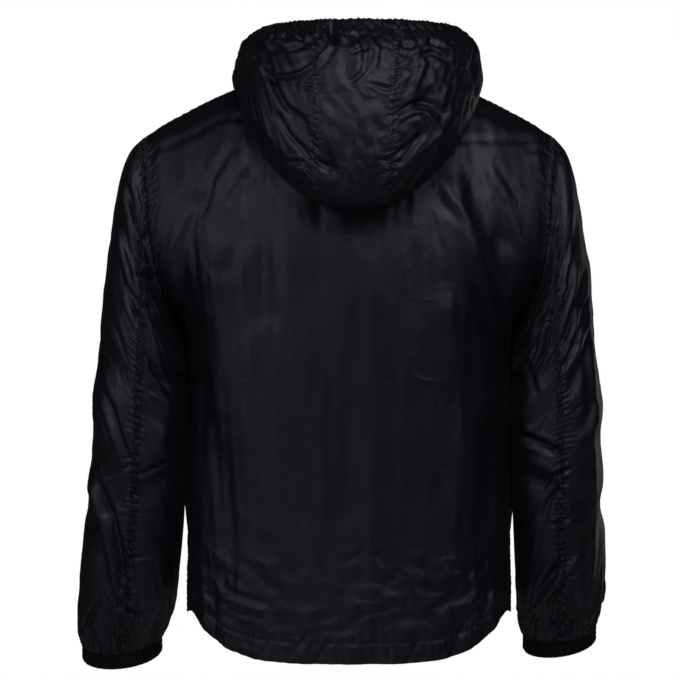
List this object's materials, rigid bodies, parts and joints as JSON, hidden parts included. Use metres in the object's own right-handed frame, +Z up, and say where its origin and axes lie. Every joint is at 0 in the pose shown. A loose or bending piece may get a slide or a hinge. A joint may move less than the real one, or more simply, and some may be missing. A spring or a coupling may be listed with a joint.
{
  "type": "windbreaker jacket",
  "caption": "Hooded windbreaker jacket of thin shiny nylon, zipped up and filled out as worn, hood down, with an elastic hem and elastic cuffs.",
  "frame": {"origin": "middle of the neck opening, level with the seam between the hood and the sides of the neck", "axes": "+Z up the wearer's body, -Y out of the front with the zip, +X to the wearer's left"},
  "size_m": [0.6288, 0.3184, 0.757],
  "materials": {
    "nylon": "smooth black nylon taffeta with a soft shine",
    "elastic": "black elastic band covered in nylon",
    "zip_tape": "black woven tape",
    "zip_metal": "black enamel"
  },
  "bodies": {
    "jacket": {"back": "nylon", "front_left": "nylon", "front_right": "nylon", "sleeve_upper_left": "nylon", "sleeve_under_left": "nylon", "sleeve_upper_right": "nylon", "sleeve_under_right": "nylon", "cuff_left": "elastic", "cuff_right": "elastic", "hood_centre": "nylon", "hood_left": "nylon", "hood_right": "nylon", "zip_tape_left": "zip_tape", "zip_tape_right": "zip_tape", "zip_slider": "zip_metal", "zip_box": "zip_metal"},
    "pull": {"zip_pull": "zip_metal"}
  },
  "joints": [
    {"name": "pull_swing", "type": "hinge", "parent": "jacket", "child": "pull", "pos_m": [0, -0.09412, -0.004], "axis": [-1, 0, 0], "range_deg": [0, 150]}
  ]
}
